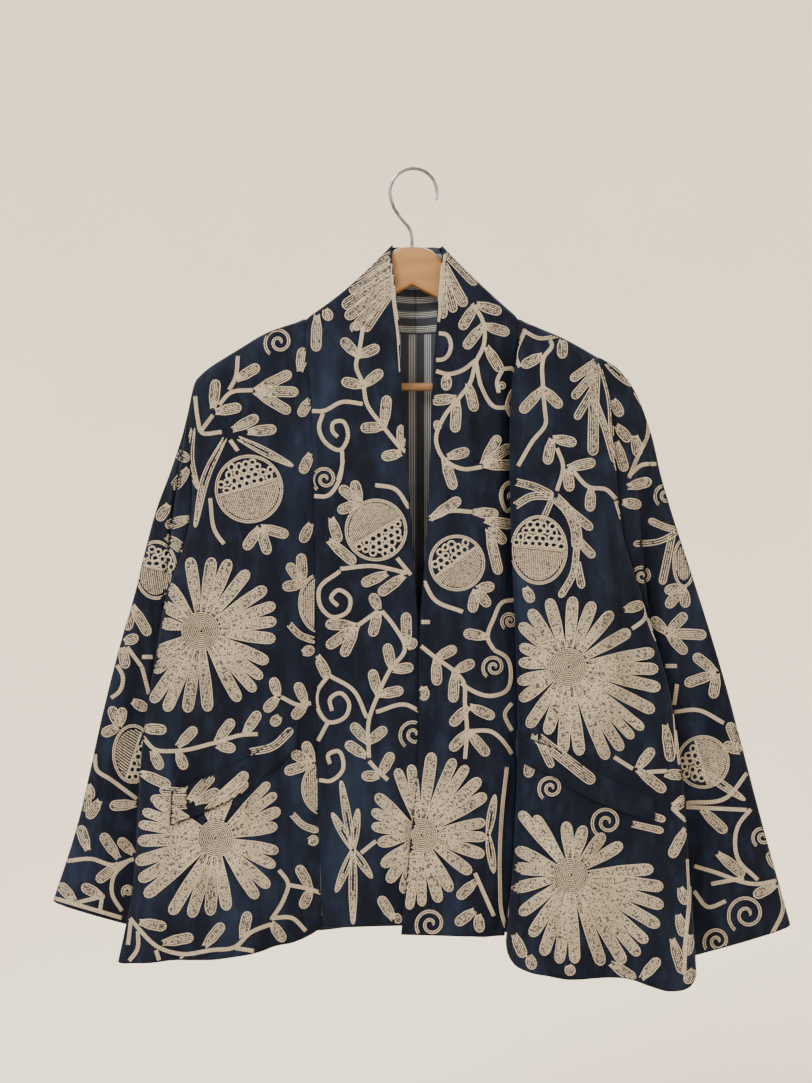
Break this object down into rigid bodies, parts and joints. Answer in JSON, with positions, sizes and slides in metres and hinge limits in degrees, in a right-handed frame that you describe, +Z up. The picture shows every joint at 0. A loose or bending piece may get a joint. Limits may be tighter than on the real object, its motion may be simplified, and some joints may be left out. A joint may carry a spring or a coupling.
{
  "type": "embroidered velvet coat on a wooden hanger",
  "caption": "Short open-front velvet coat of kimono cut with chain-stitch embroidery, a standing band collar, slanted welt pockets and a striped lining, hung on a wooden hanger.",
  "frame": {"origin": "inside top of the hanger's hook, where it rests on a peg or rail", "axes": "+Z up, -Y out of the coat's front toward the viewer, +X toward the wearer's left, which is the viewer's right"},
  "size_m": [0.793, 0.1173, 0.8658],
  "materials": {
    "velvet_right_front": "navy velvet with cream chain-stitch embroidery",
    "velvet_left_front": "navy velvet with cream chain-stitch embroidery",
    "velvet_back": "navy velvet with cream chain-stitch embroidery",
    "velvet_right_band": "navy velvet with cream chain-stitch embroidery",
    "velvet_left_band": "navy velvet with cream chain-stitch embroidery",
    "velvet_right_sleeve": "navy velvet with cream chain-stitch embroidery",
    "velvet_left_sleeve": "navy velvet with cream chain-stitch embroidery",
    "welt_right": "navy velvet with cream chain-stitch embroidery",
    "welt_left": "navy velvet with cream chain-stitch embroidery",
    "striped_lining": "dark plain-weave cotton with pale grey stripes",
    "striped_facing_right": "dark plain-weave cotton with pale grey stripes",
    "striped_facing_left": "dark plain-weave cotton with pale grey stripes",
    "hanger_wood": "satin varnished beech",
    "hanger_bar_wood": "satin varnished beech",
    "hook_steel": "plated steel wire"
  },
  "bodies": {
    "root": {"right_front": "velvet_right_front", "left_front": "velvet_left_front", "back": "velvet_back", "right_band": "velvet_right_band", "left_band": "velvet_left_band", "right_sleeve": "velvet_right_sleeve", "left_sleeve": "velvet_left_sleeve", "right_pocket_welt": "welt_right", "left_pocket_welt": "welt_left", "back_lining": "striped_lining", "right_neck_facing": "striped_facing_right", "left_neck_facing": "striped_facing_left", "hanger_board": "hanger_wood", "hanger_bar": "hanger_bar_wood", "hanger_hook": "hook_steel"}
  },
  "joints": []
}
